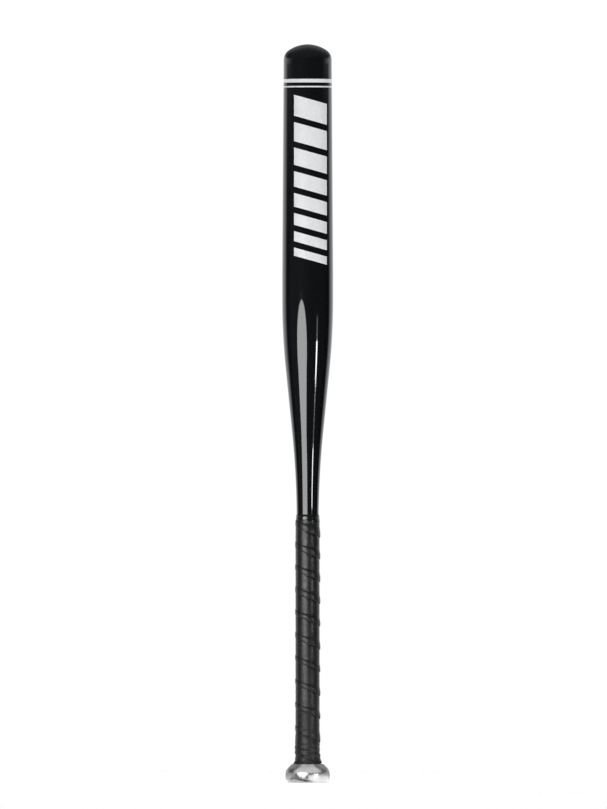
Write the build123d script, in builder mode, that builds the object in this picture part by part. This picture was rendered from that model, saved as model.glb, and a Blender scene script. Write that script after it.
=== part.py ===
"""Baseball bat: a one-piece aluminium tube bat with a spun-closed barrel end.

The axis is +Z. The origin is the centre of the knob's flat base, and the front of the
bat, which carries the printed bars, faces -Y. All sizes are in millimetres.
"""

import os
from math import asin, degrees, sqrt

from build123d import *

os.makedirs("parts", exist_ok=True)

# --- Tube: handle, taper, barrel and crown are one drawn and swaged piece ---
bat_length = 813.0  # 32 inches, from the knob's base to the crown
tube_wall = 2.6
handle_radius = 12.15
taper_low = 335.4  # height where the handle line would meet the cone line
taper_high = 493.6  # height where the cone line would meet the belt line
barrel_radius = 28.2
belt_top = 562.0  # the barrel is a true cylinder from the taper up to here
shoulder_radius = 26.6  # where the side line would meet the crown
taper_low_bend = 990.0
taper_high_bend = 760.0
belt_bend = 1200.0
crown_bend = 10.0
crown_radius = 37.0

# --- Hole left by spinning the end shut, and its plug ---
spin_hole_radius = 4.0
plug_lip_radius = 5.5
plug_lip_height = 1.6
plug_tip_radius = 2.5
plug_length = 7.5

# --- Knob: a round side on a flat base, an elliptical shoulder, and a spigot up the tube ---
knob_radius = 24.5
knob_widest = 9.0  # height of the widest ring
knob_top = 20.5
knob_upper_height = 15.4
knob_side_bend = 36.5
knob_base_bend = 5.2
knob_top_bend = 0.4
spigot_gap = 0.05
spigot_length = 22.0
spigot_chamfer = 1.0
vent_radius = 4.0
vent_seat_radius = 7.0
vent_seat_depth = 1.8

# --- Plug that closes the vent ---
button_gap = 0.1
button_inset = 0.4  # its face stays above the surface that the bat stands on
button_stem = 9.0
button_edge = 0.4

# --- Weld bead round the tube's foot ---
weld_leg = 2.0
weld_crown = 1.25

# --- Grip: adhesive backing, wound strip, and the vinyl tape that ends it ---
backing_thickness = 0.15
backing_foot = 24.0
backing_top = 285.0  # where the tube starts to swell
grip_top = 292.0
grip_lip_radius = 12.5
grip_shoulder = 1.5
grip_radius = 12.8
grip_even_height = 115.0
grip_low_radius = 13.35
grip_low_height = 30.0
grip_flare_height = 25.5
grip_flare_radius = 15.2
grip_flare_edge = 1.5
grip_flare_bend = 3.0
grip_weld_gap = 0.3
tape_thickness = 0.2
tape_gap = 0.05
tape_foot = 287.0
tape_top = 295.6

# --- Printed transfer film: two rings, and slanted bars on the front ---
film_thickness = 0.08
ring_heights = (766.0, 772.5)
ring_widths = (1.6, 4.0)
bar_count = 8
bar_first_height = 23.0
bar_height_step = 2.0
bar_gap = 7.0
bar_left = -15.0
bar_right = 21.0
bar_slant = 10.0
bars_top = 757.0
film_low = 566.0
film_high = 776.0

# --- Sizes that follow from these ---
crown_centre = bat_length - crown_radius
shoulder_height = crown_centre + sqrt(crown_radius**2 - shoulder_radius**2)
plug_lip_top = bat_length - tube_wall - 0.6
spigot_radius = handle_radius - tube_wall - spigot_gap
spigot_top = knob_top + spigot_length
backing_radius = handle_radius + backing_thickness
tape_radius = grip_radius + tape_gap
tape_neck_radius = handle_radius + 2 * tape_gap
tape_step = grip_top + tape_gap
tube_bends = (
    (taper_low, taper_low_bend),
    (taper_high, taper_high_bend),
    (belt_top, belt_bend),
    (shoulder_height, crown_bend),
)
position_slack = 0.01


def side_radius(height):
    """Radius of the barrel's side line at a height between the belt and the shoulder."""
    climb = (height - belt_top) / (shoulder_height - belt_top)
    return barrel_radius + climb * (shoulder_radius - barrel_radius)


# Tube: straight lines between the breaks, each break rounded, then shelled from its foot.
with BuildPart() as barrel_shell:
    with BuildSketch(Plane.XZ) as tube_section:
        with BuildLine():
            side = Polyline(
                (0, knob_top),
                (handle_radius, knob_top),
                (handle_radius, taper_low),
                (barrel_radius, taper_high),
                (barrel_radius, belt_top),
                (shoulder_radius, shoulder_height),
            )
            crown = RadiusArc(side @ 1, (0, bat_length), -crown_radius)
            Line(crown @ 1, side @ 0)
        make_face()
        for height, bend in tube_bends:
            corner = tube_section.vertices().filter_by_position(
                Axis.Y, height - position_slack, height + position_slack
            )
            fillet(corner.sort_by(Axis.X)[-1], bend)
    revolve(axis=Axis.Z)
    offset(amount=-tube_wall, openings=barrel_shell.faces().sort_by(Axis.Z)[0])
    with Locations((0, 0, bat_length)):
        Hole(spin_hole_radius, depth=3 * tube_wall)
barrel_shell.part.label = "barrel_shell"
export_step(barrel_shell.part, "parts/barrel_shell.step")

# End plug: a mushroom pushed in from outside, its face flush with the crown.
with BuildPart() as end_plug:
    with BuildSketch(Plane.XZ):
        with BuildLine():
            cap_angle = degrees(asin(spin_hole_radius / crown_radius))
            cap = CenterArc((0, crown_centre), crown_radius, 90 - cap_angle, cap_angle)
            Polyline(
                cap @ 1,
                (0, bat_length - plug_length),
                (plug_tip_radius, bat_length - plug_length),
                (plug_lip_radius, plug_lip_top - plug_lip_height),
                (plug_lip_radius, plug_lip_top),
                (spin_hole_radius, plug_lip_top),
                cap @ 0,
            )
        make_face()
    revolve(axis=Axis.Z)
end_plug.part.label = "end_plug"
export_step(end_plug.part, "parts/end_plug.step")

# Knob: an aluminium forging with a vent bored right through its spigot.
with BuildPart() as knob:
    with BuildSketch(Plane.XZ):
        with BuildLine():
            base_angle = degrees(asin(knob_widest / knob_side_bend))
            top_angle = degrees(asin((knob_top - knob_widest) / knob_upper_height))
            centre = (0, knob_widest)
            side_centre = (knob_radius - knob_side_bend, knob_widest)
            underside = CenterArc(side_centre, knob_side_bend, -base_angle, base_angle)
            shoulder = EllipticalCenterArc(
                centre, knob_radius, knob_upper_height, 0, arc_size=top_angle
            )
            Polyline(
                shoulder @ 1,
                (spigot_radius, knob_top),
                (spigot_radius, spigot_top),
                (0, spigot_top),
                (0, 0),
                underside @ 0,
            )
        make_face()
    revolve(axis=Axis.Z)
    rims = knob.edges().filter_by(GeomType.CIRCLE)
    top_rims = rims.filter_by_position(Axis.Z, knob_top, knob_top)
    fillet(rims.sort_by(Axis.Z)[0], knob_base_bend)
    fillet(top_rims.sort_by(SortBy.RADIUS)[-1], knob_top_bend)
    chamfer(rims.sort_by(Axis.Z)[-1], spigot_chamfer)
    with Locations(Plane.XY.rotated((180, 0, 0))):
        CounterBoreHole(vent_radius, vent_seat_radius, vent_seat_depth)
knob.part.label = "knob"
export_step(knob.part, "parts/knob.step")

# Knob plug: a push-in button whose face lies a little inside the knob's base.
with BuildPart() as knob_plug:
    with BuildSketch(Plane.XY.offset(button_inset)):
        Circle(vent_seat_radius - button_gap)
    extrude(amount=vent_seat_depth - button_inset)
    with BuildSketch(Plane.XY.offset(vent_seat_depth)):
        Circle(vent_radius - button_gap)
    extrude(amount=button_stem)
    rims = knob_plug.edges().filter_by(GeomType.CIRCLE).sort_by(Axis.Z)
    fillet([rims[0], rims[-1]], button_edge)
knob_plug.part.label = "knob_plug"
export_step(knob_plug.part, "parts/knob_plug.step")

# Weld bead in the corner between the tube's foot and the knob's top.
with BuildPart() as knob_weld:
    with BuildSketch(Plane.XZ):
        with BuildLine():
            bead = ThreePointArc(
                (handle_radius + weld_leg, knob_top),
                (handle_radius + weld_crown, knob_top + weld_crown),
                (handle_radius, knob_top + weld_leg),
            )
            Polyline(bead @ 1, (handle_radius, knob_top), bead @ 0)
        make_face()
    revolve(axis=Axis.Z)
knob_weld.part.label = "knob_weld"
export_step(knob_weld.part, "parts/knob_weld.step")

# Backing: the double-sided adhesive layer that the grip is wound on.
with BuildPart() as grip_backing:
    with BuildSketch(Plane.XY.offset(backing_foot)):
        Circle(backing_radius)
        Circle(handle_radius, mode=Mode.SUBTRACT)
    extrude(amount=backing_top - backing_foot)
grip_backing.part.label = "grip_backing"
export_step(grip_backing.part, "parts/grip_backing.step")

# Grip: the wound strip as one closed sleeve, thicker and flared where it meets the knob.
with BuildPart() as grip_wrap:
    with BuildSketch(Plane.XZ):
        with BuildLine():
            Polyline(
                (backing_radius, grip_top),
                (grip_lip_radius, grip_top),
                (grip_radius, grip_top - grip_shoulder),
                (grip_radius, grip_even_height),
                (grip_low_radius, grip_low_height),
                (grip_low_radius, grip_flare_height),
                (grip_flare_radius, knob_top + grip_flare_edge),
                (grip_flare_radius, knob_top),
                (handle_radius + weld_leg + grip_weld_gap, knob_top),
                (backing_radius, backing_foot - grip_weld_gap),
                (backing_radius, grip_top),
            )
        make_face()
    revolve(axis=Axis.Z)
    rims = grip_wrap.edges().filter_by(GeomType.CIRCLE)
    fillet(
        rims.filter_by_position(Axis.Z, grip_flare_height, grip_flare_height), grip_flare_bend
    )
grip_wrap.part.label = "grip_wrap"
export_step(grip_wrap.part, "parts/grip_wrap.step")

# Finish tape: a vinyl ring that steps down from the grip's top edge onto the paint.
with BuildPart() as finish_tape:
    with BuildSketch(Plane.XZ):
        with BuildLine():
            Polyline(
                (tape_radius, tape_foot),
                (tape_radius, grip_top - grip_shoulder),
                (grip_lip_radius + tape_gap, tape_step),
                (tape_neck_radius, tape_step + tape_thickness),
                (tape_neck_radius, tape_top),
                (tape_neck_radius + tape_thickness, tape_top),
                (tape_neck_radius + tape_thickness, tape_step + 2 * tape_thickness),
                (grip_lip_radius + tape_gap + tape_thickness, tape_step + tape_thickness),
                (tape_radius + tape_thickness, grip_top - grip_shoulder + tape_thickness),
                (tape_radius + tape_thickness, tape_foot),
                (tape_radius, tape_foot),
            )
        make_face()
    revolve(axis=Axis.Z)
finish_tape.part.label = "finish_tape"
export_step(finish_tape.part, "parts/finish_tape.step")

# The areas that the film is cut to: rings all the way round, bars on the front only.
with BuildPart() as print_areas:
    for height, width in zip(ring_heights, ring_widths):
        with BuildSketch(Plane.XY.offset(height - width / 2)):
            Circle(2 * barrel_radius)
        extrude(amount=width)
    with BuildSketch(Plane.XZ):
        bar_top = bars_top
        for bar in range(bar_count):
            bar_height = bar_first_height - bar * bar_height_step
            Polygon(
                (bar_left, bar_top),
                (bar_left, bar_top - bar_height),
                (bar_right, bar_top - bar_height - bar_slant),
                (bar_right, bar_top - bar_slant),
                align=None,
            )
            bar_top -= bar_height + bar_gap
    extrude(amount=2 * barrel_radius)

# Printed film: a thin skin on the barrel's side, cut to those areas.
with BuildPart() as barrel_graphic:
    with BuildSketch(Plane.XZ):
        Polygon(
            (side_radius(film_low), film_low),
            (side_radius(film_low) + film_thickness, film_low),
            (side_radius(film_high) + film_thickness, film_high),
            (side_radius(film_high), film_high),
            align=None,
        )
    revolve(axis=Axis.Z)
    add(print_areas.part, mode=Mode.INTERSECT)
barrel_graphic.part.label = "barrel_graphic"
export_step(barrel_graphic.part, "parts/barrel_graphic.step")
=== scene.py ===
"""Looks of the black aluminium baseball bat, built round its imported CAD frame.

Everything is in metres in the CAD frame: +Z runs up the bat from the knob's base, and
the front, with the printed bars, faces -Y. Angles round the bat start at the front and
grow towards +X, so a point at angle a and radius r is (r sin a, -r cos a).
"""
import math

import bmesh
import bpy
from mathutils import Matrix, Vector, noise


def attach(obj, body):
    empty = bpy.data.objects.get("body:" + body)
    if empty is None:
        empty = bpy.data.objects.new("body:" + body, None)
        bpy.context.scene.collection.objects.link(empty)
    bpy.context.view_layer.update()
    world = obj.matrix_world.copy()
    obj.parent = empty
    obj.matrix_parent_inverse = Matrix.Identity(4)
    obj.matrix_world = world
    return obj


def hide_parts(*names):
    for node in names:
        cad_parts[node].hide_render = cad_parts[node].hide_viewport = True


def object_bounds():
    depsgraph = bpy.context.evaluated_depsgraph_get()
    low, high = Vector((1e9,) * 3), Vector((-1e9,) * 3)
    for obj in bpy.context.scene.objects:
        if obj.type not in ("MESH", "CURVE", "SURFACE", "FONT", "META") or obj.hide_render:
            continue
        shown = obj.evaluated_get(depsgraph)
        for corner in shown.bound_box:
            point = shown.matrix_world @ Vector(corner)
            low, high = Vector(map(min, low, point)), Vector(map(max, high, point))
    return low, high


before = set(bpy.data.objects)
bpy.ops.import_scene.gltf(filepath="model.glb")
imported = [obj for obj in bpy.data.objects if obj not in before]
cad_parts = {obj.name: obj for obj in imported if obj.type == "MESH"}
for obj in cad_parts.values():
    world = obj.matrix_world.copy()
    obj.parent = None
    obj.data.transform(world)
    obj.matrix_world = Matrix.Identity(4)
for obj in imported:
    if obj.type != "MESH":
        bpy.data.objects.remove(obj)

CAD_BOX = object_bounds()
MM = 0.001
FULL_TURN = 2 * math.pi
TUBE_SEGMENTS = 192
KNOB_SEGMENTS = 240
BUTTON_SEGMENTS = 72
PLUG_SEGMENTS = 64
FLOOR_SEGMENTS = 96
scene = bpy.context.scene

# --- The tube, as the CAD has it but for a gentler bend at the crown ---
BAT_LENGTH = CAD_BOX[1].z
BARREL_RADIUS = 28.2 * MM
HANDLE_RADIUS = 12.15 * MM
SHOULDER_RADIUS = 26.6 * MM
TUBE_WALL = 2.6 * MM
TAPER_LOW = 335.4 * MM
TAPER_HIGH = 493.6 * MM
BELT_TOP = 562 * MM
TAPER_LOW_BEND = 990 * MM
TAPER_HIGH_BEND = 760 * MM
BELT_BEND = 1200 * MM
CROWN_BEND = 13 * MM
CROWN_RADIUS = 37 * MM
CROWN_CENTRE = BAT_LENGTH - CROWN_RADIUS
SPIN_HOLE_RADIUS = 4 * MM

# --- End plug ---
PLUG_LIP_RADIUS = 5.5 * MM
PLUG_LIP_HEIGHT = 1.6 * MM
PLUG_TIP_RADIUS = 2.5 * MM
PLUG_LENGTH = 7.5 * MM
PLUG_LIP_GAP = 0.6 * MM

# --- Knob and the button in its base ---
KNOB_RADIUS = 24.5 * MM
KNOB_WIDEST = 9 * MM
KNOB_TOP = 20.5 * MM
KNOB_UPPER_HEIGHT = 15.4 * MM
KNOB_SIDE_BEND = 36.5 * MM
KNOB_BASE_BEND = 5.2 * MM
KNOB_CORNER_TOP = 4.9 * MM  # height at which the rounding of the base begins
KNOB_TOP_BEND = 0.8 * MM
SPIGOT_RADIUS = 9.5 * MM
SPIGOT_TOP = 42.5 * MM
SPIGOT_CHAMFER = 1 * MM
VENT_RADIUS = 4 * MM
VENT_SEAT_RADIUS = 7 * MM
VENT_SEAT_DEPTH = 1.8 * MM
BUTTON_GAP = 0.1 * MM
BUTTON_INSET = 0.4 * MM
BUTTON_TOP = 10.8 * MM
BUTTON_EDGE = 0.4 * MM

# --- Grip: one strip wound up the handle, each turn lapping over the one before ---
BACKING_RADIUS = 12.32 * MM
STRIP_THICKNESS = 0.8 * MM
STRIP_PITCH = 25.05 * MM
STRIP_LAP = 7 * MM
STRIP_HEIGHT = STRIP_PITCH + STRIP_LAP
SEAM_HEIGHT = 51 * MM  # where turn 0's lower edge crosses the front
SEAM_DRIFT = 2.3 * MM  # how far the turns halfway up sit above an even winding
GRIP_FOOT = 20.7 * MM
GRIP_TOP = 293.6 * MM
FOOT_RADIUS = 14.5 * MM
FOOT_FLARE = 4.6 * MM
FOOT_TURNS = 1.15  # how far round the strip lies level on the knob before it climbs
SKIVE_TOP = 290.8 * MM  # the strip is thin above this and full SKIVE_LENGTH below it
SKIVE_LENGTH = 3.4 * MM
SKIVE_THICKNESS = 0.4 * MM

# --- Finish tape ---
TAPE_FOOT = 288.9 * MM
TAPE_TOP = 295.6 * MM
TAPE_THICKNESS = 0.16 * MM
TAPE_TURNS = 2.2
TAPE_START = math.radians(150)
TAPE_ROWS_PER_TURN = 96
TAPE_COLUMNS = 18

# --- Printed film ---
FILM_THICKNESS = 0.08 * MM
FILM_GAP = 0.01 * MM
RING_HEIGHTS = (766 * MM, 772.5 * MM)
RING_WIDTHS = (1.6 * MM, 4 * MM)
BAR_COUNT = 8
BAR_FIRST_HEIGHT = 23 * MM
BAR_HEIGHT_STEP = 2 * MM
BAR_GAP = 7 * MM
BAR_LEFT = -15 * MM
BAR_RIGHT = 21 * MM
BAR_SLANT = 10 * MM
BARS_TOP = 757 * MM


# ---------------------------------------------------------------- small helpers


def smooth(value):
    """0 below 0, 1 above 1, and a smooth rise between."""
    value = min(1.0, max(0.0, value))
    return value * value * (3 - 2 * value)


def around(radius, angle, height):
    """The point at that radius, angle from the front and height."""
    return Vector((radius * math.sin(angle), -radius * math.cos(angle), height))


def rounded(corners, bends, step=math.radians(2.5)):
    """A line through (radius, height) corners, with an arc of the given bend at each."""
    line = []
    for place, (corner, bend) in enumerate(zip(corners, bends)):
        here = Vector(corner)
        if bend == 0:
            line.append(here)
            continue
        before = (Vector(corners[place - 1]) - here).normalized()
        after = (Vector(corners[(place + 1) % len(corners)]) - here).normalized()
        half = before.angle(after) / 2
        middle = here + (before + after).normalized() * bend / math.sin(half)
        reach = bend / math.tan(half)
        first, last = here + before * reach - middle, here + after * reach - middle
        turn = math.pi - 2 * half
        pieces = max(6, math.ceil(turn / step))
        for piece in range(pieces + 1):
            share = piece / pieces
            start_part = math.sin((1 - share) * turn) / math.sin(turn)
            stop_part = math.sin(share * turn) / math.sin(turn)
            line.append(middle + first * start_part + last * stop_part)
    return line


def arc(centre, width, height, start, stop, pieces):
    """Points on an elliptical arc between two angles in degrees."""
    points = []
    for piece in range(pieces + 1):
        angle = math.radians(start + (stop - start) * piece / pieces)
        offset = Vector((width * math.cos(angle), height * math.sin(angle)))
        points.append(Vector(centre) + offset)
    return points


def even(line, longest):
    """The same line with extra points, so that no stretch is longer than that."""
    points = []
    for here, there in zip(line, line[1:] + line[:1]):
        pieces = max(1, math.ceil((there - here).length / longest))
        points += [here.lerp(there, piece / pieces) for piece in range(pieces)]
    return points


def piece_from(name, points, faces, material, nodes, uvs=None, sharp=35):
    """A closed mesh piece that rides on the bat and stands for those CAD nodes."""
    mesh = bpy.data.meshes.new(name)
    mesh.from_pydata(points, [], faces)
    shell = bmesh.new()
    shell.from_mesh(mesh)
    bmesh.ops.recalc_face_normals(shell, faces=shell.faces)
    shell.to_mesh(mesh)
    shell.free()
    if uvs:
        layer = mesh.uv_layers.new(name="strip")
        for loop in mesh.loops:
            layer.data[loop.index].uv = uvs[loop.vertex_index]
    mesh.shade_smooth()
    mesh.set_sharp_from_angle(angle=math.radians(sharp))
    mesh.materials.append(material)
    piece = bpy.data.objects.new(name, mesh)
    scene.collection.objects.link(piece)
    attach(piece, "root")
    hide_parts(*nodes)
    return piece


def turned(outline, segments):
    """Points and faces of a closed outline turned about the axis. Radius 0 makes a pole."""
    points, rings = [], []
    for radius, height in outline:
        first = len(points)
        if radius < 1e-9:
            points.append(Vector((0, 0, height)))
            rings.append([first] * segments)
        else:
            turns = [FULL_TURN * segment / segments for segment in range(segments)]
            points += [around(radius, turn, height) for turn in turns]
            rings.append(range(first, first + segments))
    faces = []
    for low, high in zip(rings, rings[1:] + rings[:1]):
        for segment in range(segments):
            beside = (segment + 1) % segments
            face = (low[segment], low[beside], high[beside], high[segment])
            corners = tuple(dict.fromkeys(face))
            if len(corners) > 2:
                faces.append(corners)
    return points, faces


def slab(outer, inner):
    """Points and faces of the closed slab between two grids of points."""
    rows, columns = len(outer), len(outer[0])
    points = [point for grid in (outer, inner) for row in grid for point in row]

    def at(side, row, column):
        return (side * rows + row) * columns + column

    faces = []
    for row in range(rows - 1):
        for column in range(columns - 1):
            for side in (0, 1):
                ring = ((row, column), (row, column + 1), (row + 1, column + 1), (row + 1, column))
                faces.append(tuple(at(side, *spot) for spot in ring))
    rim = [(0, column) for column in range(columns)]
    rim += [(row, columns - 1) for row in range(1, rows)]
    rim += [(rows - 1, column) for column in reversed(range(columns - 1))]
    rim += [(row, 0) for row in reversed(range(1, rows - 1))]
    for here, there in zip(rim, rim[1:] + rim[:1]):
        faces.append((at(0, *here), at(0, *there), at(1, *there), at(1, *here)))
    return points, faces


# ---------------------------------------------------------------- materials


class Recipe:
    """A node material round one Principled shader, with short calls for its textures."""

    def __init__(self, name, **sockets):
        self.material = bpy.data.materials.new(name)
        self.material.use_nodes = True
        self.tree = self.material.node_tree
        self.shader = self.tree.nodes["Principled BSDF"]
        for socket, value in sockets.items():
            self.shader.inputs[socket.replace("_", " ")].default_value = value
        coordinates = self.tree.nodes.new("ShaderNodeTexCoord")
        self.place = coordinates.outputs["Object"]
        self.uv = coordinates.outputs["UV"]

    def node(self, kind, inputs=(), **settings):
        """A new node, with its settings, and its sockets set or linked."""
        made = self.tree.nodes.new("ShaderNode" + kind)
        for setting, value in settings.items():
            setattr(made, setting, value)
        for socket, value in dict(inputs).items():
            if isinstance(value, bpy.types.NodeSocket):
                self.tree.links.new(value, made.inputs[socket])
            else:
                made.inputs[socket].default_value = value
        return made

    def stretched(self, scale, source=None):
        """The object's own coordinates, scaled differently along x, y and z."""
        link = {"Vector": source or self.place, "Scale": scale}
        return self.node("Mapping", link).outputs["Vector"]

    def noise(self, scale, detail=2.0, roughness=0.5, vector=None, distortion=0.0):
        """Cloudy noise from 0 to 1."""
        link = {"Vector": vector or self.place, "Scale": scale, "Detail": detail}
        link.update({"Roughness": roughness, "Distortion": distortion})
        return self.node("TexNoise", link).outputs["Fac"]

    def cells(self, scale, feature="F1", vector=None, smoothness=0.0):
        """Distance to the nearest of many scattered points."""
        link = {"Vector": vector or self.place, "Scale": scale}
        made = self.node("TexVoronoi", link, feature=feature)
        if feature == "SMOOTH_F1":
            made.inputs["Smoothness"].default_value = smoothness
        return made.outputs["Distance"]

    def fit(self, value, low, high, out_low, out_high, blend="SMOOTHSTEP"):
        """value from low..high carried to out_low..out_high."""
        link = {"Value": value, "From Min": low, "From Max": high}
        link.update({"To Min": out_low, "To Max": out_high})
        return self.node("MapRange", link, interpolation_type=blend).outputs["Result"]

    def combine(self, first, second, operation="ADD"):
        """Two values put together, by adding them or by another operation."""
        return self.node("Math", {0: first, 1: second}, operation=operation).outputs[0]

    def mix(self, share, first, second):
        """A colour between two, by that share."""
        made = self.node("Mix", data_type="RGBA")
        for socket, value in ((0, share), (6, first), (7, second)):
            if isinstance(value, bpy.types.NodeSocket):
                self.tree.links.new(value, made.inputs[socket])
            else:
                made.inputs[socket].default_value = value
        return made.outputs[2]

    def drive(self, socket, value):
        """Links a value to a socket of the shader."""
        self.tree.links.new(value, self.shader.inputs[socket])

    def bump(self, height, depth, under=None):
        """Adds a bump of that depth in metres, on top of an earlier one."""
        link = {"Height": height, "Distance": depth, "Strength": 1.0}
        if under is not None:
            link["Normal"] = under
        return self.node("Bump", link).outputs["Normal"]


def grey(level, warm=0.0):
    """A grey colour, a little warm above 0 and a little cool below."""
    return (level * (1 + warm), level, level * (1 - warm), 1.0)


def black_paint():
    """Gloss black enamel: faint orange peel, and haze where it has been wiped."""
    paint = Recipe("black_paint", Base_Color=grey(0.0045, -0.12), IOR=1.5)
    peel = paint.noise(310, detail=1.0)
    drift = paint.noise(55, detail=1.0, vector=paint.stretched((1, 1, 0.4)))
    haze = paint.noise(38, detail=4.0, roughness=0.65, vector=paint.stretched((1, 1, 0.25)))
    paint.drive("Roughness", paint.fit(haze, 0.35, 0.75, 0.03, 0.07))
    normal = paint.bump(peel, 0.0012 * MM)
    paint.drive("Normal", paint.bump(drift, 0.006 * MM, normal))
    return paint.material


def polished_aluminium():
    """Forged and buffed metal: soft waves, buffing lines round it, cloudy patches."""
    metal = Recipe("polished_aluminium", Metallic=1.0)
    waves = metal.noise(75, detail=1.5, distortion=0.4)
    lines = metal.noise(1.0, detail=3.0, vector=metal.stretched((90, 90, 5200)))
    cloud = metal.noise(170, detail=5.0, roughness=0.6)
    metal.drive("Roughness", metal.fit(cloud, 0.35, 0.7, 0.22, 0.32))
    tone = metal.noise(120, detail=4.0, roughness=0.6)
    shade = metal.fit(tone, 0.35, 0.7, 0.0, 1.0)
    metal.drive("Base Color", metal.mix(shade, grey(0.66, 0.01), grey(0.76, 0.0)))
    normal = metal.bump(waves, 0.05 * MM)
    metal.drive("Normal", metal.bump(lines, 0.002 * MM, normal))
    return metal.material


def weld_metal():
    """Bare weld bead: dull ripples left by each pool of metal."""
    bead = Recipe("weld_bead", Base_Color=grey(0.6), Metallic=1.0)
    ripples = bead.noise(600, detail=2.0, distortion=0.6)
    bead.drive("Roughness", bead.fit(ripples, 0.3, 0.7, 0.3, 0.5))
    bead.drive("Normal", bead.bump(ripples, 0.1 * MM))
    return bead.material


def adhesive():
    """Double-sided cloth tape under the grip: a fine weave in tacky cream glue."""
    cloth = Recipe("adhesive", Roughness=0.6)
    weave = cloth.noise(1.0, detail=1.0, vector=cloth.stretched((2500, 2500, 400)))
    tone = cloth.fit(weave, 0.3, 0.7, 0.0, 1.0)
    cloth.drive("Base Color", cloth.mix(tone, (0.6, 0.57, 0.48, 1), (0.78, 0.75, 0.66, 1)))
    cloth.drive("Normal", cloth.bump(weave, 0.05 * MM))
    return cloth.material


def grip_leather():
    """Synthetic leather: pebbled grain, hand polish, and painted shade along each lap, just under
    the next turn's edge.
    """
    hide = Recipe("grip_leather", IOR=1.5)
    across = hide.node("SeparateXYZ", {"Vector": hide.uv}).outputs["Y"]
    pebble = hide.cells(1150, "SMOOTH_F1", smoothness=0.5)
    pores = hide.noise(3200, detail=2.0)
    handled = hide.noise(70, detail=4.0, roughness=0.6)
    patches = hide.noise(24, detail=3.0)
    tone = hide.fit(patches, 0.3, 0.7, 0.0, 1.0)
    colour = hide.mix(tone, grey(0.004, 0.03), grey(0.007, 0.07))
    worn = hide.fit(handled, 0.45, 0.75, 0.0, 0.5)
    colour = hide.mix(worn, colour, grey(0.012, 0.05))
    grain = hide.fit(pebble, 0.25, 0.6, 1.0, 0.6)
    # Painted shade: the top tenth of each turn, just under the next turn's lower edge, is darkened
    # as if shaded by that edge.
    painted_seam_shade = hide.fit(across, 0.9, 1.0, 0.0, 0.8)
    colour = hide.mix(painted_seam_shade, colour, grey(0.003))
    hide.drive("Base Color", colour)
    rough = hide.fit(handled, 0.3, 0.7, 0.34, 0.27)
    height = hide.node("SeparateXYZ", {"Vector": hide.place}).outputs["Z"]
    rough = hide.combine(rough, hide.fit(height, 0.04, 0.26, 0.05, 0.0))
    hide.drive("Roughness", hide.combine(rough, hide.fit(pores, 0.3, 0.7, -0.03, 0.05)))
    facing = hide.node("LayerWeight", {"Blend": 0.5}).outputs["Facing"]
    oiled = hide.fit(height, 0.04, 0.27, 0.85, 1.0)
    shine = hide.fit(facing, 0.45, 0.9, 0.5, 0.06)
    hide.drive("Specular IOR Level", hide.combine(shine, oiled, "MULTIPLY"))
    normal = hide.bump(grain, 0.14 * MM)
    hide.drive("Normal", hide.bump(pores, 0.012 * MM, normal))
    return hide.material


def black_vinyl():
    """Stretched vinyl tape: glossy, with fine pull lines round it."""
    vinyl = Recipe("black_vinyl", Base_Color=grey(0.006, -0.05), IOR=1.52)
    pulls = vinyl.noise(1.0, detail=2.0, vector=vinyl.stretched((160, 160, 1500)))
    dimples = vinyl.noise(420, detail=2.0)
    vinyl.drive("Roughness", vinyl.fit(dimples, 0.3, 0.7, 0.09, 0.2))
    normal = vinyl.bump(pulls, 0.02 * MM)
    vinyl.drive("Normal", vinyl.bump(dimples, 0.012 * MM, normal))
    return vinyl.material


def white_film():
    """Screen-printed white: satin, slightly mottled, with a trace of the mesh."""
    ink = Recipe("white_film", IOR=1.5)
    mottle = ink.noise(260, detail=4.0, roughness=0.6)
    tone = ink.fit(mottle, 0.3, 0.75, 0.0, 1.0)
    ink.drive("Base Color", ink.mix(tone, grey(0.65, -0.01), grey(0.71, -0.005)))
    mesh_marks = ink.cells(3600, "F1")
    ink.drive("Roughness", ink.fit(mottle, 0.3, 0.7, 0.28, 0.4))
    ink.drive("Normal", ink.bump(mesh_marks, 0.004 * MM))
    return ink.material


def black_rubber():
    """Moulded rubber: matt, lightly pitted."""
    rubber = Recipe("black_rubber", IOR=1.5)
    pits = rubber.noise(1800, detail=3.0)
    bloom = rubber.fit(rubber.noise(160, detail=3.0), 0.35, 0.7, 0.0, 1.0)
    rubber.drive("Base Color", rubber.mix(bloom, grey(0.018), grey(0.03, -0.03)))
    rubber.drive("Roughness", rubber.fit(pits, 0.3, 0.7, 0.5, 0.7))
    rubber.drive("Normal", rubber.bump(pits, 0.03 * MM))
    return rubber.material


# ---------------------------------------------------------------- camera, light, floor

VIEW_HEIGHT = 0.8909  # how much the picture shows at the bat, from bottom to top
VIEW_CENTRE = 0.4163
VIEW_SIDE = -0.0046
CAMERA_DISTANCE = 20.0
SENSOR = 36.0


def make_camera():
    """A long lens, level and square to the bat's front."""
    lens = bpy.data.cameras.new("camera")
    lens.sensor_width = SENSOR
    lens.lens = SENSOR * CAMERA_DISTANCE / VIEW_HEIGHT
    lens.clip_end = 10 * CAMERA_DISTANCE
    camera = bpy.data.objects.new("camera", lens)
    camera.location = (VIEW_SIDE, -CAMERA_DISTANCE, VIEW_CENTRE)
    camera.rotation_euler = (math.radians(90), 0, 0)
    scene.collection.objects.link(camera)
    scene.camera = camera


def soft_light(name, azimuth, distance, height, aim, size, power, glossy=True, shape="RECTANGLE"):
    """An area light at an angle from the front, pointing at a height on the axis."""
    lamp = bpy.data.lights.new(name, "AREA")
    lamp.shape = shape
    lamp.size, lamp.size_y = size
    lamp.energy = power
    light = bpy.data.objects.new(name, lamp)
    light.location = around(distance, math.radians(azimuth), height)
    away = light.location - Vector((0, 0, aim))
    light.rotation_euler = away.to_track_quat("Z", "Y").to_euler()
    light.visible_camera = False
    light.visible_glossy = glossy
    scene.collection.objects.link(light)


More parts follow.
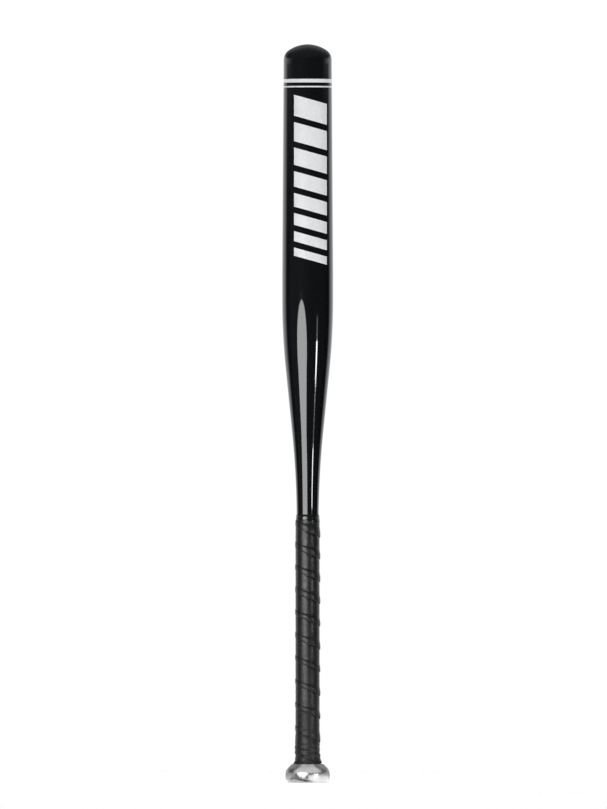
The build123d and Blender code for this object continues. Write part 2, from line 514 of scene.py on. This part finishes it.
def make_lights():
    """A round softbox low on the left, a bright strip on the right, and soft fill."""
    soft_light("softbox", -27.5, 1.5, 0.25, 0.25, (1.3, 0.57), 15.2, shape="ELLIPSE")
    soft_light("strip", 44.5, 2.6, 0.08, 0.08, (0.29, 0.25), 6.4)
    soft_light("strip_rim", 44.5, 2.65, 0.05, 0.05, (0.29, 0.7), 1.2)
    soft_light("fill_left", -45, 1.6, 1.1, 0.7, (0.9, 0.9), 2, glossy=False)
    soft_light("fill_right", 60, 1.6, 0.9, 0.7, (0.9, 0.9), 4, glossy=False)
    soft_light("overhead", 0, 0.01, 2.4, 0, (1.6, 1.6), 68, glossy=False)


# Patches of the studio that show in the metal: azimuth and elevation of the middle,
# inner and outer reach, all in degrees, and how bright the patch is.
STUDIO_PATCHES = (
    (-112, 27, 8, 21, 0.06),
    (112, 27, 6, 20, 0.10),
    (0, 75, 30, 60, 0.1),
    (-50, -30, 9, 17, 0.0),
    (-32, -44, 12, 21, 0.0),
    (-14, -58, 11, 20, 0.0),
    (0, -78, 10, 20, 0.0),
)


def make_world():
    """White behind the bat, dark in front of it, and a grey ceiling for the reflections."""
    world = bpy.data.worlds.new("studio")
    world.use_nodes = True
    scene.world = world
    tree = world.node_tree
    tree.nodes.clear()

    def node(kind, inputs=(), **settings):
        made = tree.nodes.new("ShaderNode" + kind)
        for setting, value in settings.items():
            setattr(made, setting, value)
        for socket, value in dict(inputs).items():
            if isinstance(value, bpy.types.NodeSocket):
                tree.links.new(value, made.inputs[socket])
            else:
                made.inputs[socket].default_value = value
        return made

    def rise(value, low, high, out_low, out_high):
        link = {"Value": value, "From Min": low, "From Max": high}
        link.update({"To Min": out_low, "To Max": out_high})
        return node("MapRange", link, interpolation_type="SMOOTHSTEP").outputs["Result"]

    def blend(share, first, second):
        return node("Mix", {0: share, 2: first, 3: second}, data_type="FLOAT").outputs[0]

    direction = node("TexCoord").outputs["Generated"]
    parts = node("SeparateXYZ", {"Vector": direction}).outputs
    front = rise(parts["X"], -0.7, 0.5, 0.10, 0.03)
    beside = rise(parts["Y"], -0.2, 0.1, 1.0, 0.1)
    front = node("Math", {0: front, 1: beside}, operation="MULTIPLY").outputs[0]
    low_wall = rise(parts["Y"], 0.3, 0.62, 0.0, 1.0)
    high_wall = rise(parts["Y"], -0.35, 0.7, 0.0, 1.0)
    wall = blend(rise(parts["Z"], 0.0245, 0.0305, 0.0, 1.0), low_wall, high_wall)
    level = blend(rise(parts["Z"], 0.1, 0.25, 0.0, 1.0), 1.3, 0.3)
    light = blend(wall, front, level)
    below = rise(parts["X"], -0.1, 0.5, 0.75, 1.3)
    light = blend(rise(parts["Z"], -0.5, -0.24, 1.0, 0.0), light, below)
    for azimuth, elevation, inner, outer, brightness in STUDIO_PATCHES:
        flat = math.cos(math.radians(elevation))
        toward = around(flat, math.radians(azimuth), math.sin(math.radians(elevation)))
        near = node("VectorMath", {0: direction, 1: toward}, operation="DOT_PRODUCT")
        reach = [math.cos(math.radians(angle)) for angle in (outer, inner)]
        light = blend(rise(near.outputs["Value"], *reach, 0.0, 1.0), light, brightness)
    studio = node("Background", {"Color": (0.96, 0.98, 1.0, 1), "Strength": light})
    backdrop = node("Background", {"Color": (1, 1, 1, 1), "Strength": 1.0})
    seen = node("LightPath").outputs["Is Camera Ray"]
    mixed = node("MixShader", {0: seen, 1: studio.outputs[0], 2: backdrop.outputs[0]})
    node("OutputWorld", {"Surface": mixed.outputs[0]})


FLOOR_RADIUS = 0.6
FLOOR_BELOW = -0.3 * MM
# Pale cards round the knob, seen only in reflections. Each is a ring sector between two
# angles in degrees from the front, from one (radius, height) corner to another, and the
# last number is how bright it is.
CARDS = {
    "card_behind": (65, 295, (0.12, -12 * MM), (0.12, 30 * MM), 0.4),
    "card_above": (-75, 75, (0.017, 80 * MM), (0.2, 80 * MM), 0.7),
    "card_right": (4, 130, (0.03, 0.3 * MM), (0.26, 0.3 * MM), 1.15),
    "card_left": (-160, -80, (0.03, 0.3 * MM), (0.26, 0.3 * MM), 0.7),
}
CARD_THICKNESS = 1 * MM
CARD_STEPS = 48


def make_card(name, start, stop, near, far, brightness):
    """One glowing card, which shows in reflections and casts no light or shadow."""
    outer, inner = [], []
    for step in range(CARD_STEPS + 1):
        angle = math.radians(start + (stop - start) * step / CARD_STEPS)
        for row, shift in ((outer, 0), (inner, CARD_THICKNESS)):
            row.append([around(radius + shift, angle, z - shift) for radius, z in (near, far)])
    points, faces = slab(outer, inner)
    mesh = bpy.data.meshes.new(name)
    mesh.from_pydata(points, [], faces)
    glow = Recipe(name, Base_Color=grey(0), Roughness=1.0)
    glow.shader.inputs["Emission Color"].default_value = grey(1.0)
    glow.shader.inputs["Emission Strength"].default_value = brightness
    mesh.materials.append(glow.material)
    card = bpy.data.objects.new(name, mesh)
    for kind in ("camera", "diffuse", "transmission", "volume_scatter", "shadow"):
        setattr(card, "visible_" + kind, False)
    scene.collection.objects.link(card)


def make_floor():
    """A small pale floor under the bat."""
    outline = [(0, 0), (FLOOR_RADIUS, 0), (FLOOR_RADIUS, FLOOR_BELOW), (0, FLOOR_BELOW)]
    points, faces = turned(outline, FLOOR_SEGMENTS)
    mesh = bpy.data.meshes.new("floor")
    mesh.from_pydata(points, [], faces)
    pale = Recipe("floor", Base_Color=grey(0.93), Roughness=0.8)
    mesh.materials.append(pale.material)
    floor = bpy.data.objects.new("floor", mesh)
    floor.visible_glossy = False
    scene.collection.objects.link(floor)


# ---------------------------------------------------------------- tube and end plug


def shoulder_corner():
    """Where the barrel's side line would meet the crown."""
    drop = math.sqrt(CROWN_RADIUS**2 - SHOULDER_RADIUS**2)
    return Vector((SHOULDER_RADIUS, CROWN_CENTRE + drop))


def side_radius(height):
    """Radius of the barrel's side line at a height between the belt and the shoulder."""
    share = (height - BELT_TOP) / (shoulder_corner().y - BELT_TOP)
    return BARREL_RADIUS + share * (SHOULDER_RADIUS - BARREL_RADIUS)


def crown_line(inset):
    """The rounded shoulder and the crown up to the hole, moved in by the wall or not."""
    corner = shoulder_corner()
    along = (corner - Vector((BARREL_RADIUS, BELT_TOP))).normalized()
    inward = Vector((-along.y, along.x))
    start = corner + inward * CROWN_BEND
    centre = Vector((0, CROWN_CENTRE))
    reach = CROWN_RADIUS - CROWN_BEND
    offset = start - centre
    middle = -offset.dot(along)
    half = math.sqrt(middle**2 - offset.length_squared + reach**2)
    bend_centre = start + along * min(middle - half, middle + half, key=abs)
    first = math.degrees(math.atan2(-inward.y, -inward.x))
    toward = bend_centre - centre
    last = math.degrees(math.atan2(toward.y, toward.x))
    hole = 90 - math.degrees(math.asin(SPIN_HOLE_RADIUS / (CROWN_RADIUS - inset)))
    bend = arc(bend_centre, CROWN_BEND - inset, CROWN_BEND - inset, first, last, 24)
    dome = arc(centre, CROWN_RADIUS - inset, CROWN_RADIUS - inset, last, hole, 30)
    return bend + dome[1:]


def tube_side(inset):
    """The tube's side from its foot to the shoulder, moved in by the wall or not."""
    corners = [
        (HANDLE_RADIUS - inset, KNOB_TOP),
        (HANDLE_RADIUS - inset, TAPER_LOW),
        (BARREL_RADIUS - inset, TAPER_HIGH),
        (BARREL_RADIUS - inset, BELT_TOP),
        tuple(crown_line(inset)[0]),
    ]
    bends = (0, TAPER_LOW_BEND, TAPER_HIGH_BEND, BELT_BEND, 0)
    return rounded(corners, bends, math.radians(0.2))


def make_tube(material):
    """The tube, hollow, from its foot to the rim of the hole in its crown."""
    outside = tube_side(0) + crown_line(0)[1:]
    inside = tube_side(TUBE_WALL) + crown_line(TUBE_WALL)[1:]
    outline = even(outside + inside[::-1], 5 * MM)
    points, faces = turned(outline, TUBE_SEGMENTS)
    piece_from("bat_tube", points, faces, material, ["barrel_shell"])


def make_end_plug(material):
    """The mushroom plug in the crown's hole."""
    cap = 90 - math.degrees(math.asin(SPIN_HOLE_RADIUS / CROWN_RADIUS))
    face = arc((0, CROWN_CENTRE), CROWN_RADIUS, CROWN_RADIUS, 90, cap, 6)
    lip_top = BAT_LENGTH - TUBE_WALL - PLUG_LIP_GAP
    below = [
        (SPIN_HOLE_RADIUS, lip_top),
        (PLUG_LIP_RADIUS, lip_top),
        (PLUG_LIP_RADIUS, lip_top - PLUG_LIP_HEIGHT),
        (PLUG_TIP_RADIUS, BAT_LENGTH - PLUG_LENGTH),
        (0, BAT_LENGTH - PLUG_LENGTH),
    ]
    outline = face + [Vector(corner) for corner in below]
    points, faces = turned(outline, PLUG_SEGMENTS)
    piece_from("barrel_end_plug", points, faces, material, ["end_plug"])


# ---------------------------------------------------------------- knob and its button


def make_knob(material):
    """The knob with its spigot, turned in one, and the vent down its middle."""
    base_angle = math.degrees(math.asin((KNOB_WIDEST - KNOB_CORNER_TOP) / KNOB_SIDE_BEND))
    top_angle = math.degrees(math.atan(KNOB_UPPER_HEIGHT / KNOB_RADIUS))
    centre = (0, KNOB_WIDEST)
    side_centre = (KNOB_RADIUS - KNOB_SIDE_BEND, KNOB_WIDEST)
    underside = arc(side_centre, KNOB_SIDE_BEND, KNOB_SIDE_BEND, -base_angle, 0, 12)
    shoulder = arc(centre, KNOB_RADIUS, KNOB_UPPER_HEIGHT, 0, top_angle, 40)
    lowest = underside[0]
    slope = (underside[1] - lowest).normalized()
    foot = lowest - slope * (lowest.y / slope.y)
    corners = [tuple(point) for point in [foot] + underside + shoulder[1:]]
    bends = [KNOB_BASE_BEND] + [0] * (len(corners) - 1)
    brink = corners[-1]
    corners.append((brink[0] - (KNOB_TOP - brink[1]), KNOB_TOP))
    bends.append(KNOB_TOP_BEND)
    corners += [
        (SPIGOT_RADIUS, KNOB_TOP),
        (SPIGOT_RADIUS, SPIGOT_TOP - SPIGOT_CHAMFER),
        (SPIGOT_RADIUS - SPIGOT_CHAMFER, SPIGOT_TOP),
        (VENT_RADIUS, SPIGOT_TOP),
        (VENT_RADIUS, VENT_SEAT_DEPTH),
        (VENT_SEAT_RADIUS, VENT_SEAT_DEPTH),
        (VENT_SEAT_RADIUS, 0),
    ]
    bends += [0] * 7
    points, faces = turned(rounded(corners, bends), KNOB_SEGMENTS)
    piece_from("pommel_knob", points, faces, material, ["knob"])


def make_button(material):
    """The button that closes the vent."""
    head = VENT_SEAT_RADIUS - BUTTON_GAP
    stem = VENT_RADIUS - BUTTON_GAP
    corners = [
        (0, BUTTON_INSET),
        (head, BUTTON_INSET),
        (head, VENT_SEAT_DEPTH),
        (stem, VENT_SEAT_DEPTH),
        (stem, BUTTON_TOP),
        (0, BUTTON_TOP),
    ]
    bends = (0, BUTTON_EDGE, 0, 0, BUTTON_EDGE, 0)
    points, faces = turned(rounded(corners, bends, math.radians(15)), BUTTON_SEGMENTS)
    piece_from("vent_button", points, faces, material, ["knob_plug"])


# ---------------------------------------------------------------- grip and finish tape

CLIMB = STRIP_PITCH / FULL_TURN
FOOT_BEND = 0.5  # how gently the strip starts to climb, in radians of turn
CLIMB_START = (GRIP_FOOT - SEAM_HEIGHT) / CLIMB
STRIP_START = CLIMB_START - FOOT_TURNS * FULL_TURN
STRIP_STOP = (GRIP_TOP - SEAM_HEIGHT - 3 * MM) / CLIMB
START_TAPER = 0.5 * FULL_TURN
CREASE = 3.0 * MM  # over how much height a turn drops off the edge it covers, on the left
CREASE_SPREAD = 1.6  # how much more height that takes on the right, as a share of CREASE
SEAM_DIP = 0.34 * MM
SEAM_DIP_REACH = 1.4 * MM
CREASE_DIP = 0.24 * MM  # the valley beside the edge that a turn covers
CREASE_DIP_REACH = 1.2 * MM
LEFT_PRESS = 0.55  # how much flatter the laps are pulled on the left than on the right
LEFT_PAD = 0.3 * MM
LAP_CROWN = 0.14 * MM  # how much a turn bulges over the edge that it covers
RIDGE_SPACING = 6.3 * MM
RIDGE_TOP = 47 * MM
RIDGE_HEIGHT = 0.5 * MM
PUCKER = 0.07 * MM
STRIP_ROWS_PER_TURN = 80


def strip_lower(turn):
    """Height of the strip's lower edge after winding that many radians from seam 0."""
    climb = CLIMB * FOOT_BEND * math.log1p(math.exp((turn - CLIMB_START) / FOOT_BEND))
    share = min(1.0, max(0.0, turn / (9 * FULL_TURN)))
    wander = 0.35 * MM * math.sin(0.41 * turn + 0.8) * smooth(turn / FULL_TURN)
    return GRIP_FOOT + climb + SEAM_DRIFT * math.sin(math.pi * share) + wander


def strip_upper(turn):
    """Height of its upper edge: pointed at the start, cut level under the tape."""
    width = STRIP_HEIGHT * smooth(0.12 + (turn - STRIP_START) / START_TAPER)
    return min(strip_lower(turn) + width, GRIP_TOP)


def strip_thickness(height):
    """Full thickness, thinned towards the top where the tape holds it."""
    share = smooth((SKIVE_TOP - height) / SKIVE_LENGTH)
    return SKIVE_THICKNESS + share * (STRIP_THICKNESS - SKIVE_THICKNESS)


def crease_height(turn):
    """How gently the next turn comes down off this one's edge: softest on the right."""
    return CREASE * (1 + CREASE_SPREAD * (0.5 - 0.5 * math.sin(turn)))


def strip_cover(turn, height):
    """How far a turn lies over that height, from 0 to 1, soft at its upper edge."""
    if turn < STRIP_START:
        return 0.0
    begun = smooth((turn - STRIP_START) / 0.12)
    return begun * smooth((strip_upper(turn) - height) / crease_height(turn) + 0.5)


def layers_below(turn, height):
    """How many earlier turns lie under that spot, less on the left, where they lie flatter."""
    count = 0.0
    earlier = turn - FULL_TURN
    while earlier > STRIP_START and strip_upper(earlier) > height - crease_height(earlier):
        count += strip_cover(earlier, height)
        earlier -= FULL_TURN
    return count * (1 - LEFT_PRESS * (0.5 + 0.5 * math.sin(turn)))


def grip_bed(angle, height):
    """Radius that the first layer lies on: the backing, spread over the weld at the foot."""
    flare = 1 - smooth((height - GRIP_FOOT) / FOOT_FLARE)
    pad = LEFT_PAD * (0.5 - 0.5 * math.sin(angle)) * smooth((SKIVE_TOP - height) / (20 * MM))
    ridges = 0.0
    if height < RIDGE_TOP:
        slanted = height + 1.2 * MM * math.sin(angle)
        fade = smooth((RIDGE_TOP - height) / RIDGE_SPACING)
        ridges = RIDGE_HEIGHT * fade * (0.5 + 0.5 * math.cos(FULL_TURN * slanted / RIDGE_SPACING))
    return BACKING_RADIUS + pad + ridges + flare * (FOOT_RADIUS - BACKING_RADIUS)


def grip_surface(angle, height):
    """Radius of the finished grip at that angle and height."""
    turn = -angle
    while strip_lower(turn) < height and turn < STRIP_STOP:
        turn += FULL_TURN
    while strip_lower(turn - FULL_TURN) > height and turn > STRIP_START:
        turn -= FULL_TURN
    layers = layers_below(turn, height)
    return grip_bed(angle, height) + layers * strip_thickness(height)


def strip_columns():
    """Distances across the strip, close together at its edge, crease and next seam."""
    columns = [0.6 * MM * (step / 4) ** 1.6 for step in range(5)]
    spans = (
        (STRIP_LAP - CREASE, 1.0 * MM),
        (STRIP_LAP + CREASE, 0.45 * MM),
        (STRIP_PITCH - 2 * SEAM_DIP_REACH, 1.1 * MM),
        (STRIP_PITCH + SEAM_DIP_REACH, 0.4 * MM),
        (STRIP_HEIGHT, 2.0 * MM),
    )
    for stop, step in spans:
        start = columns[-1]
        pieces = max(1, round((stop - start) / step))
        columns += [start + (stop - start) * piece / pieces for piece in range(1, pieces + 1)]
    return columns


def strip_section(turn, columns):
    """Outer and inner points across the strip at one turn, with their surface places."""
    angle = -turn
    low, high = strip_lower(turn), strip_upper(turn)
    scale = (high - low) / STRIP_HEIGHT
    next_seam = strip_lower(turn + FULL_TURN)
    length = turn * BACKING_RADIUS
    outer, inner, spots = [], [], []
    for column in columns:
        reach = column * scale
        height = low + reach
        thickness = strip_thickness(height)
        bed = grip_bed(angle, height) + layers_below(turn, height) * thickness
        edge = 1 - min(1.0, reach / (0.9 * thickness))
        roll = 0.75 * thickness * (1 - math.sqrt(1 - edge * edge))
        dip = SEAM_DIP * math.exp(-(((height - next_seam) / SEAM_DIP_REACH) ** 2))
        dip *= 0.2 + 0.8 * smooth(0.5 + math.sin(angle))
        beside = height - strip_upper(turn - FULL_TURN) - 0.1 * CREASE_DIP_REACH
        crease = CREASE_DIP * math.exp(-((beside / CREASE_DIP_REACH) ** 2))
        dip += crease * smooth(0.6 - 0.8 * math.sin(angle)) * smooth(turn - STRIP_START - FULL_TURN)
        dip *= min(1.0, thickness / STRIP_THICKNESS)
        crumple = noise.noise(Vector((length * 170, height * 420, 3.1)))
        crumple += 0.5 * noise.noise(Vector((length * 420, height * 760, 8.7)))
        pucker = PUCKER * crumple * (thickness / STRIP_THICKNESS) * min(1.0, reach / (2 * MM))
        if height > next_seam - SEAM_DIP_REACH:
            pucker = min(pucker, 0.0)
        crown = LAP_CROWN * math.sin(math.pi * min(1.0, reach / STRIP_LAP)) ** 2
        outer.append(around(bed + thickness - roll - dip + pucker + crown, angle, height))
        inner.append(around(bed + 0.01 * MM, angle, height))
        spots.append((length, (height - low) / (next_seam - low)))
    return outer, inner, spots


def make_grip(material):
    """The wound strip, as one slab from the knob to the tape."""
    columns = strip_columns()
    turns = (STRIP_STOP - STRIP_START) / FULL_TURN
    rows = round(turns * STRIP_ROWS_PER_TURN)
    outer, inner, spots = [], [], []
    for row in range(rows + 1):
        turn = STRIP_START + (STRIP_STOP - STRIP_START) * row / rows
        above, below, places = strip_section(turn, columns)
        outer.append(above)
        inner.append(below)
        spots += places
    points, faces = slab(outer, inner)
    grip = piece_from(
        "grip_strip", points, faces, material, ["grip_wrap"], spots * 2, 60
    )


def tape_lower(turn):
    """Lower edge of the tape: it dips towards the front's right."""
    return TAPE_FOOT - 1.4 * MM * math.sin(turn) - 0.25 * MM * turn / FULL_TURN


def tape_upper(turn):
    """Upper edge of the tape."""
    return TAPE_TOP - 0.15 * MM * math.sin(turn + 1) - 0.25 * MM * turn / FULL_TURN


def under_tape(angle, height):
    """Radius of what the tape is pulled over: grip, then a short bridge, then paint."""
    grip = grip_surface(angle, min(height, GRIP_TOP - 0.1 * MM))
    bridge = smooth((GRIP_TOP + 1.5 * MM - height) / (1.8 * MM))
    return HANDLE_RADIUS + 0.04 * MM + bridge * (grip - HANDLE_RADIUS)


def make_tape(material):
    """The vinyl tape, wound over the grip's end."""
    rows = round(TAPE_TURNS * TAPE_ROWS_PER_TURN)
    outer, inner, spots = [], [], []
    for row in range(rows + 1):
        turn = FULL_TURN * TAPE_TURNS * row / rows
        angle = TAPE_START + turn
        low, high = tape_lower(angle), tape_upper(angle)
        layers = sum(smooth(turn / 0.12 - FULL_TURN * lap / 0.12) for lap in (1, 2))
        above, below, places = [], [], []
        for column in range(TAPE_COLUMNS + 1):
            share = column / TAPE_COLUMNS
            height = low + (high - low) * share
            bed = under_tape(angle, height) + (layers * TAPE_THICKNESS + 0.03 * MM)
            edge = max(0.0, abs(2 * share - 1) - 0.94) / 0.06
            roll = 0.6 * TAPE_THICKNESS * edge * edge
            above.append(around(bed + TAPE_THICKNESS - roll, angle, height))
            below.append(around(bed, angle, height))
            places.append((turn * HANDLE_RADIUS, share))
        outer.append(above)
        inner.append(below)
        spots += places
    points, faces = slab(outer, inner)
    piece_from(
        "end_tape", points, faces, material, ["finish_tape"], spots * 2, 60
    )


# ---------------------------------------------------------------- printed film


def bar_patch(top, height):
    """One slanted bar on the barrel's front, as a thin curved slab."""
    across, down = 40, max(6, round(height / (2 * MM)))
    outer, inner = [], []
    for row in range(down + 1):
        above, below = [], []
        for column in range(across + 1):
            share = column / across
            x = BAR_LEFT + (BAR_RIGHT - BAR_LEFT) * share
            z = top - BAR_SLANT * share - height * row / down
            radius = side_radius(z) + FILM_GAP
            angle = math.asin(x / radius)
            above.append(around(radius + FILM_THICKNESS, angle, z))
            below.append(around(radius, angle, z))
        outer.append(above)
        inner.append(below)
    return slab(outer, inner)


def ring_band(height, width):
    """One printed ring round the barrel."""
    outline = []
    low, high = height - width / 2, height + width / 2
    for z, lift in ((low, 0), (low, 1), (high, 1), (high, 0)):
        outline.append(Vector((side_radius(z) + FILM_GAP + lift * FILM_THICKNESS, z)))
    return turned(outline, TUBE_SEGMENTS)


def make_film(material):
    """All the print, as one piece of separate thin slabs."""
    patches = [ring_band(*ring) for ring in zip(RING_HEIGHTS, RING_WIDTHS)]
    top = BARS_TOP
    for bar in range(BAR_COUNT):
        height = BAR_FIRST_HEIGHT - bar * BAR_HEIGHT_STEP
        patches.append(bar_patch(top, height))
        top -= height + BAR_GAP
    points, faces = [], []
    for patch_points, patch_faces in patches:
        first = len(points)
        points += patch_points
        faces += [tuple(first + corner for corner in face) for face in patch_faces]
    piece_from("printed_bars", points, faces, material, ["barrel_graphic"])


# ---------------------------------------------------------------- the whole scene


def finish_hidden_nodes():
    """The weld and the backing stay as the CAD has them, with their own materials."""
    for node, material in (("knob_weld", weld_metal()), ("grip_backing", adhesive())):
        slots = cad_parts[node].data.materials
        slots.clear()
        slots.append(material)


def main():
    scene.view_settings.view_transform = "Standard"
    make_camera()
    make_world()
    make_lights()
    make_floor()
    for name, card in CARDS.items():
        make_card(name, *card)
    rubber = black_rubber()
    make_tube(black_paint())
    make_end_plug(rubber)
    make_knob(polished_aluminium())
    make_button(rubber)
    make_grip(grip_leather())
    make_tape(black_vinyl())
    make_film(white_film())
    finish_hidden_nodes()


main()
